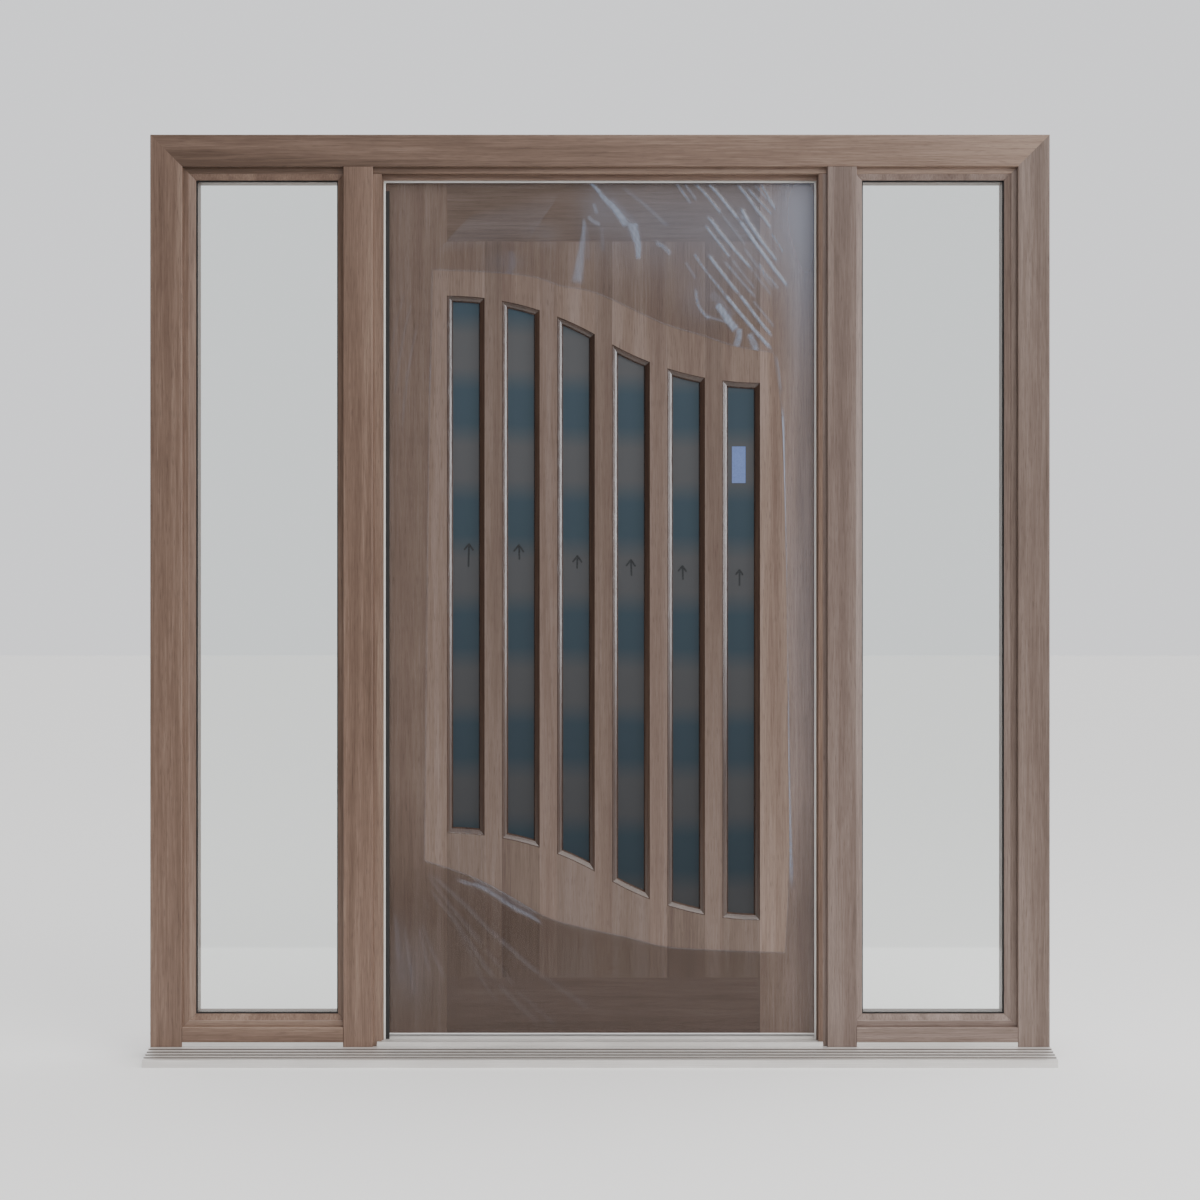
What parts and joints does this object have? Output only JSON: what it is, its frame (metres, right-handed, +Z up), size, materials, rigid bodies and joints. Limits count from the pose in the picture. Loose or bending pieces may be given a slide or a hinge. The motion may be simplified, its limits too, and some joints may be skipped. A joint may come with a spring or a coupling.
{
  "type": "glazed oak door with frame and sidelights",
  "caption": "Outside door of oak with slanting rows of tall glass slots, hinged in a frame with a fixed glazed sidelight on each side and a ribbed aluminium sill.",
  "frame": {"origin": "foot of the left post's outer side face, half way through the frame's depth", "axes": "+X along the wall to the right seen from outside, +Y into the building, +Z up"},
  "size_m": [2.13, 0.206, 2.19],
  "materials": {
    "oak": "oiled, fine open grain",
    "oak_beads": "oiled, fine open grain",
    "door_oak": "oiled, under packing film",
    "door_beads": "oiled",
    "aluminium": "mill finish",
    "spacer_metal": "dull",
    "clear_glass": "clear",
    "satin_glass": "satin",
    "black_rubber": "matt",
    "pale_seal": "matt",
    "steel": "satin"
  },
  "bodies": {
    "frame": {"left_post": "oak", "right_post": "oak", "head": "oak", "head_lips": "oak", "left_mullion": "oak", "right_mullion": "oak", "left_bottom_rail": "oak", "right_bottom_rail": "oak", "left_stop": "oak", "right_stop": "oak", "top_stop": "oak", "left_beads": "oak_beads", "right_beads": "oak_beads", "sill": "aluminium", "threshold": "aluminium", "left_base_strip": "aluminium", "right_base_strip": "aluminium", "left_spacer": "spacer_metal", "right_spacer": "spacer_metal", "left_panes": "clear_glass", "right_panes": "clear_glass", "left_gasket": "black_rubber", "right_gasket": "black_rubber", "latch_seal": "black_rubber", "door_seal": "pale_seal", "frame_hinge_plates": "steel"},
    "door": {"lock_stile": "door_oak", "hinge_stile": "door_oak", "top_rail": "door_oak", "bottom_rail": "door_oak", "muntin_1": "door_oak", "muntin_2": "door_oak", "muntin_3": "door_oak", "muntin_4": "door_oak", "muntin_5": "door_oak", "upper_staves": "door_oak", "lower_staves": "door_oak", "outer_slot_beads": "door_beads", "inner_slot_beads": "door_beads", "leaf_outer_panes": "satin_glass", "leaf_inner_panes": "satin_glass", "leaf_spacers": "spacer_metal", "bottom_seal": "pale_seal", "door_hinge_plates": "steel"}
  },
  "joints": [
    {"name": "door_hinge", "type": "hinge", "parent": "frame", "child": "door", "pos_m": [1.59075, 0.054, 1.02], "axis": [0, 0, -1], "range_deg": [0, 110]}
  ]
}
